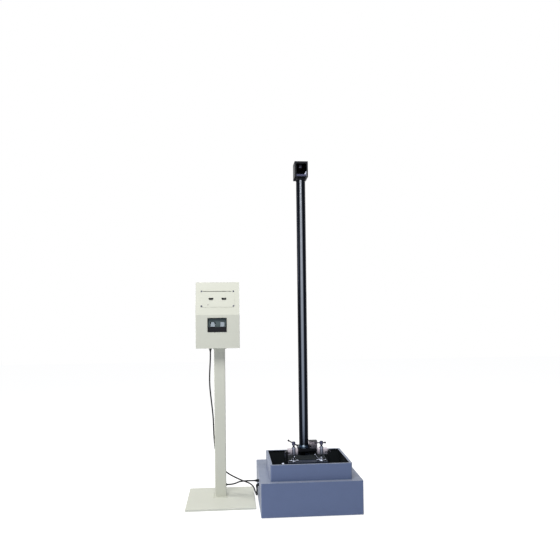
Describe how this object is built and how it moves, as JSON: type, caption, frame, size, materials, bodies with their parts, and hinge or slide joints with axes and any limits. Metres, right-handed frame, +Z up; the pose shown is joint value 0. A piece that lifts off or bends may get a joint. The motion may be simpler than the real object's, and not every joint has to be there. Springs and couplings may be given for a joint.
{
  "type": "falling ball impact tester",
  "caption": "Falling-ball impact tester: rubber-lined catch tray and screw-clamp table on a steel cabinet, tall guide tube with magnet head, and a control box on its own stand.",
  "frame": {"origin": "on the floor, at the middle of the footprint of the cabinet and the stand together", "axes": "+Z up along the guide tube; +Y from the side the operator stands on to the back; +X to the operator's right, from the control stand to the cabinet"},
  "size_m": [1.05, 0.642, 2.17],
  "materials": {
    "slate_enamel": "semi-gloss sprayed enamel",
    "cream_enamel": "fine-textured powder coat",
    "black_enamel": "satin powder coat",
    "black_casting": "painted casting",
    "tube_black": "gloss black anodised",
    "collar_steel": "turned, blued",
    "table_steel": "ground and blued plate",
    "machined_alloy": "milled, clear anodised",
    "bright_steel": "polished",
    "spindle_steel": "turned",
    "dark_steel": "oiled black",
    "zinc_steel": "zinc plated",
    "black_rubber": "moulded",
    "black_plastic": "fine grain",
    "grey_plastic": "moulded",
    "pale_plastic": "moulded",
    "lamp_lens": "clear red",
    "board_green": "coated laminate",
    "coil_winding": "enamelled copper wire",
    "cable_jacket": "smooth jacket"
  },
  "bodies": {
    "machine": {"base_cabinet": "slate_enamel", "base_floor_pan": "slate_enamel", "levelling_pads": "black_rubber", "tray_shell": "slate_enamel", "tray_liner": "black_rubber", "rim_clip": "bright_steel", "specimen_table": "table_steel", "table_legs": "spindle_steel", "table_pad": "black_rubber", "tube_bracket": "black_casting", "bracket_bolts": "zinc_steel", "flange_screws": "dark_steel", "tube_flange": "collar_steel", "guide_tube": "tube_black", "sensor_body": "machined_alloy", "sensor_cover": "black_plastic", "head_housing": "black_enamel", "head_floor": "black_enamel", "head_screws": "zinc_steel", "head_lip": "spindle_steel", "head_cheek": "bright_steel", "magnet_can": "dark_steel", "magnet_coil": "coil_winding", "stand_plate": "cream_enamel", "stand_post": "cream_enamel", "post_grommet": "black_rubber", "control_box": "cream_enamel", "front_panel": "cream_enamel", "panel_screws": "zinc_steel", "panel_sockets": "black_plastic", "panel_lamp": "lamp_lens", "switch_bay": "black_plastic", "switch_plate": "grey_plastic", "rear_cover": "cream_enamel", "rear_screws": "zinc_steel", "control_board": "board_green", "transformer": "spindle_steel", "box_gland": "black_plastic", "power_plug": "black_plastic", "signal_plug": "black_plastic", "signal_cable": "cable_jacket", "power_cable": "cable_jacket", "clamp_frame_left": "black_enamel", "clamp_block_left": "machined_alloy", "clamp_bolts_left": "dark_steel", "clamp_frame_right": "black_enamel", "clamp_block_right": "machined_alloy", "clamp_bolts_right": "dark_steel"},
    "ball": {"steel_ball": "bright_steel"},
    "paddle": {"paddle_switch": "pale_plastic"},
    "rocker": {"rocker_switch": "pale_plastic"},
    "head_thumb_screw": {"head_knob": "black_plastic"},
    "foot_left": {"clamp_foot_left": "bright_steel"},
    "lever_left": {"clamp_lever_left": "bright_steel"},
    "screw_left": {"clamp_screw_left": "spindle_steel"},
    "handle_left": {"clamp_handle_left": "dark_steel"},
    "foot_right": {"clamp_foot_right": "bright_steel"},
    "lever_right": {"clamp_lever_right": "bright_steel"},
    "screw_right": {"clamp_screw_right": "spindle_steel"},
    "handle_right": {"clamp_handle_right": "dark_steel"}
  },
  "joints": [
    {"name": "ball_drop", "type": "slide", "parent": "machine", "child": "ball", "axis": [0, 0, 1], "range_m": [0, 1.8741]},
    {"name": "foot_travel_left", "type": "slide", "parent": "machine", "child": "foot_left", "axis": [0, 0, 1], "range_m": [0, 0.01]},
    {"name": "screw_turn_left", "type": "hinge", "parent": "foot_left", "child": "screw_left", "pos_m": [0.139, -0.113, 0.34], "axis": [0, 0, 1], "range_deg": [0, 720]},
    {"name": "lever_swing_left", "type": "hinge", "parent": "foot_left", "child": "lever_left", "pos_m": [0.139, -0.113, 0.305], "axis": [0, 0, 1], "range_deg": [-30, 30]},
    {"name": "handle_slide_left", "type": "slide", "parent": "screw_left", "child": "handle_left", "axis": [-0.866, 0, 0.5], "range_m": [-0.0163, 0.0035]},
    {"name": "foot_travel_right", "type": "slide", "parent": "machine", "child": "foot_right", "axis": [0, 0, 1], "range_m": [0, 0.01]},
    {"name": "screw_turn_right", "type": "hinge", "parent": "foot_right", "child": "screw_right", "pos_m": [0.311, -0.113, 0.34], "axis": [0, 0, 1], "range_deg": [0, 720]},
    {"name": "lever_swing_right", "type": "hinge", "parent": "foot_right", "child": "lever_right", "pos_m": [0.311, -0.113, 0.305], "axis": [0, 0, 1], "range_deg": [-25, 25]},
    {"name": "handle_slide_right", "type": "slide", "parent": "screw_right", "child": "handle_right", "axis": [-1, 0, 0], "range_m": [-0.0163, 0.0035]},
    {"name": "paddle_tilt", "type": "hinge", "parent": "machine", "child": "paddle", "pos_m": [-0.3525, 0.0345, 1.1235], "axis": [1, 0, 0], "range_deg": [0, 10]},
    {"name": "rocker_tilt", "type": "hinge", "parent": "machine", "child": "rocker", "pos_m": [-0.2915, 0.0345, 1.1235], "axis": [1, 0, 0], "range_deg": [0, 10]},
    {"name": "thumb_screw_turn", "type": "hinge", "parent": "machine", "child": "head_thumb_screw", "pos_m": [0.183, 0.074, 2.0605], "axis": [1, 0, 0], "range_deg": [0, 360]}
  ],
  "couplings": [
    {"joint": "screw_turn_left", "follows": "foot_travel_left", "rad_per_m": 1256.6},
    {"joint": "screw_turn_right", "follows": "foot_travel_right", "rad_per_m": 1256.6}
  ]
}
